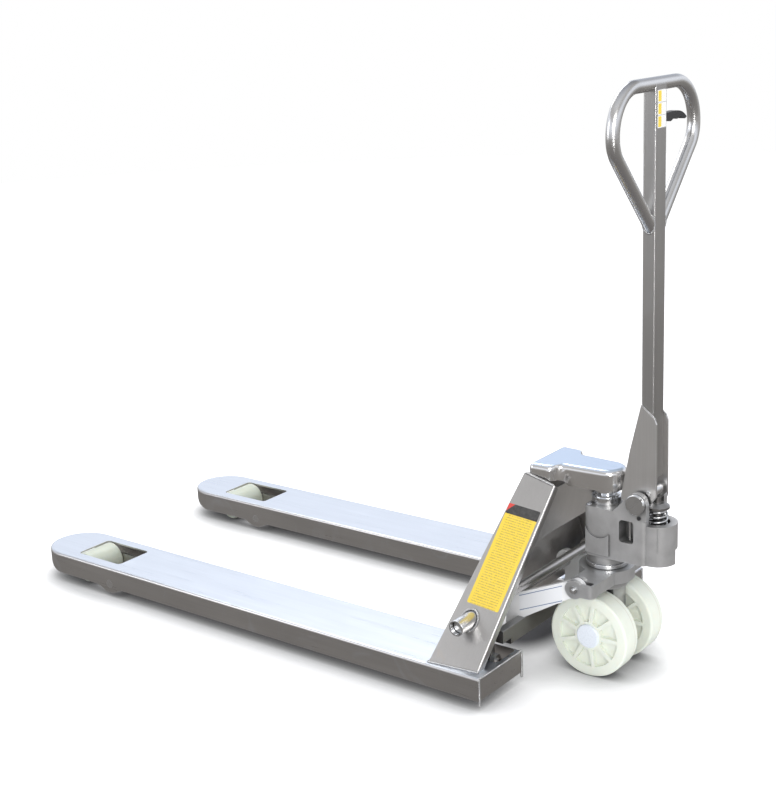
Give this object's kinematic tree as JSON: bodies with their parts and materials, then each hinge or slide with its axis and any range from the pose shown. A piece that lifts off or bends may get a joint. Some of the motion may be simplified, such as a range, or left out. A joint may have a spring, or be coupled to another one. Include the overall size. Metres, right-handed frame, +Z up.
{
  "type": "pallet jack",
  "caption": "Hand pallet truck in stainless steel: two forks with load rollers, steered pump unit, tilting loop handle and a rocker linkage that lifts the forks.",
  "frame": {"origin": "on the floor, under the middle of the truck", "axes": "+X from the fork tips to the handle, +Y the operator's right, +Z up"},
  "size_m": [1.605, 0.685, 1.224],
  "materials": {
    "satin_steel": "satin brushed stainless sheet",
    "round_tube": "polished stainless tube",
    "turned_steel": "turned stainless",
    "cast_steel": "blasted stainless casting",
    "arm_white": "white film on steel",
    "wheel_nylon": "off-white cast nylon",
    "cap_plastic": "pale smooth plastic",
    "bush_bronze": "sintered bronze",
    "black_plastic": "moulded black plastic"
  },
  "bodies": {
    "base_bracket": {"crosshead": "cast_steel", "arm_pins": "turned_steel", "grease_nipples": "turned_steel", "thrust_race": "turned_steel"},
    "pump_unit": {"pump_housing": "cast_steel", "ram_cap": "turned_steel", "pivot_bolt": "turned_steel", "deck_plug": "black_plastic", "valve_cap": "cast_steel", "axle_carrier": "cast_steel", "steer_axle": "turned_steel", "axle_circlips": "turned_steel"},
    "steer_wheel_left": {"steer_wheel_left": "wheel_nylon", "wheel_bearings_left": "turned_steel", "hub_cap_left": "cap_plastic"},
    "steer_wheel_right": {"steer_wheel_right": "wheel_nylon", "wheel_bearings_right": "turned_steel", "hub_cap_right": "cap_plastic"},
    "ram": {"ram_rod": "turned_steel"},
    "plunger": {"plunger": "turned_steel", "plunger_spring": "turned_steel"},
    "release_rod": {"release_rod": "turned_steel"},
    "handle": {"handle_tube": "satin_steel", "handle_loop": "round_tube", "handle_plates": "satin_steel", "press_pin": "turned_steel", "lever_pin": "turned_steel"},
    "press_roller": {"press_roller": "turned_steel"},
    "finger_lever": {"finger_lever": "black_plastic"},
    "control_rod": {"control_rod": "turned_steel"},
    "chassis": {"fork_left": "satin_steel", "fork_right": "satin_steel", "side_plate_left": "satin_steel", "side_plate_right": "satin_steel", "front_plate": "satin_steel", "rear_plate": "satin_steel", "tie_tube": "satin_steel", "rocker_bosses": "turned_steel", "rocker_bushes": "bush_bronze", "bonnet": "satin_steel", "bracket_shafts": "turned_steel"},
    "rocker": {"rocker_shaft": "turned_steel", "rocker_arm_left": "arm_white", "rocker_arm_right": "arm_white", "rocker_beam": "satin_steel", "rocker_cranks": "satin_steel", "crank_pins": "turned_steel"},
    "roller_bracket_left": {"roller_bracket_left": "satin_steel", "bracket_pins_left": "turned_steel"},
    "load_roller_left": {"load_roller_left": "wheel_nylon"},
    "push_rod_left": {"push_rod_left": "turned_steel", "push_rod_yoke_left": "turned_steel", "push_rod_nuts_left": "turned_steel"},
    "roller_bracket_right": {"roller_bracket_right": "satin_steel", "bracket_pins_right": "turned_steel"},
    "load_roller_right": {"load_roller_right": "wheel_nylon"},
    "push_rod_right": {"push_rod_right": "turned_steel", "push_rod_yoke_right": "turned_steel", "push_rod_nuts_right": "turned_steel"}
  },
  "joints": [
    {"name": "steer", "type": "hinge", "parent": "base_bracket", "child": "pump_unit", "pos_m": [0.6455, 0, 0.2], "axis": [0, 0, 1], "range_deg": [-90, 90]},
    {"name": "steer_wheel_spin_left", "type": "hinge", "parent": "pump_unit", "child": "steer_wheel_left", "pos_m": [0.6455, -0.055, 0.09], "axis": [0, 1, 0], "continuous": true},
    {"name": "steer_wheel_spin_right", "type": "hinge", "parent": "pump_unit", "child": "steer_wheel_right", "pos_m": [0.6455, 0.055, 0.09], "axis": [0, 1, 0], "continuous": true},
    {"name": "lift", "type": "slide", "parent": "base_bracket", "child": "chassis", "axis": [0, 0, 1], "range_m": [0, 0.115]},
    {"name": "ram_slide", "type": "slide", "parent": "pump_unit", "child": "ram", "axis": [0, 0, 1], "range_m": [0, 0.1155]},
    {"name": "handle_tilt", "type": "hinge", "parent": "pump_unit", "child": "handle", "pos_m": [0.7375, 0, 0.387], "axis": [0, 1, 0], "range_deg": [0, 75], "stiffness_Nm_per_rad": 36, "springref_deg": -8.59},
    {"name": "plunger_slide", "type": "slide", "parent": "pump_unit", "child": "plunger", "axis": [0, 0, -1], "range_m": [0, 0.0317], "deforming": ["plunger_spring"]},
    {"name": "press_roller_spin", "type": "hinge", "parent": "handle", "child": "press_roller", "pos_m": [0.7545, 0, 0.407], "axis": [0, 1, 0], "continuous": true},
    {"name": "finger_lever", "type": "hinge", "parent": "handle", "child": "finger_lever", "pos_m": [0.7485, 0.012, 1.148], "axis": [1, 0, 0], "range_deg": [0, 14], "stiffness_Nm_per_rad": 3, "springref_deg": -6.88},
    {"name": "control_rod_slide", "type": "slide", "parent": "handle", "child": "control_rod", "axis": [0, 0, 1], "range_m": [0, 0.0051]},
    {"name": "release_rod_slide", "type": "slide", "parent": "pump_unit", "child": "release_rod", "axis": [0, 0, -1], "range_m": [0, 0.0031]},
    {"name": "rocker_swing", "type": "hinge", "parent": "chassis", "child": "rocker", "pos_m": [0.4765, 0, 0.156], "axis": [0, 1, 0], "range_deg": [0, 37.8]},
    {"name": "roller_bracket_swing_left", "type": "hinge", "parent": "chassis", "child": "roller_bracket_left", "pos_m": [-0.5365, -0.2625, 0.034], "axis": [0, -1, 0], "range_deg": [0, 65.94]},
    {"name": "load_roller_spin_left", "type": "hinge", "parent": "roller_bracket_left", "child": "load_roller_left", "pos_m": [-0.6605, -0.2625, 0.037], "axis": [0, 1, 0], "continuous": true},
    {"name": "push_rod_pivot_left", "type": "hinge", "parent": "roller_bracket_left", "child": "push_rod_left", "pos_m": [-0.5218, -0.22647, 0.05665], "axis": [0, 1, 0], "range_deg": [0, 65.94]},
    {"name": "roller_bracket_swing_right", "type": "hinge", "parent": "chassis", "child": "roller_bracket_right", "pos_m": [-0.5365, 0.2625, 0.034], "axis": [0, -1, 0], "range_deg": [0, 65.94]},
    {"name": "load_roller_spin_right", "type": "hinge", "parent": "roller_bracket_right", "child": "load_roller_right", "pos_m": [-0.6605, 0.2625, 0.037], "axis": [0, 1, 0], "continuous": true},
    {"name": "push_rod_pivot_right", "type": "hinge", "parent": "roller_bracket_right", "child": "push_rod_right", "pos_m": [-0.5218, 0.22647, 0.05665], "axis": [0, 1, 0], "range_deg": [0, 65.94]}
  ],
  "couplings": [
    {"joint": "ram_slide", "follows": "lift", "ratio": 1},
    {"joint": "plunger_slide", "follows": "handle_tilt", "m_per_rad": 0.024064},
    {"joint": "control_rod_slide", "follows": "finger_lever", "m_per_rad": 0.020463},
    {"joint": "release_rod_slide", "follows": "finger_lever", "m_per_rad": 0.012278},
    {"joint": "rocker_swing", "follows": "lift", "rad_per_m": 5.735},
    {"joint": "roller_bracket_swing_left", "follows": "lift", "rad_per_m": 10.006},
    {"joint": "push_rod_pivot_left", "follows": "lift", "rad_per_m": 10.006},
    {"joint": "roller_bracket_swing_right", "follows": "lift", "rad_per_m": 10.006},
    {"joint": "push_rod_pivot_right", "follows": "lift", "rad_per_m": 10.006}
  ]
}
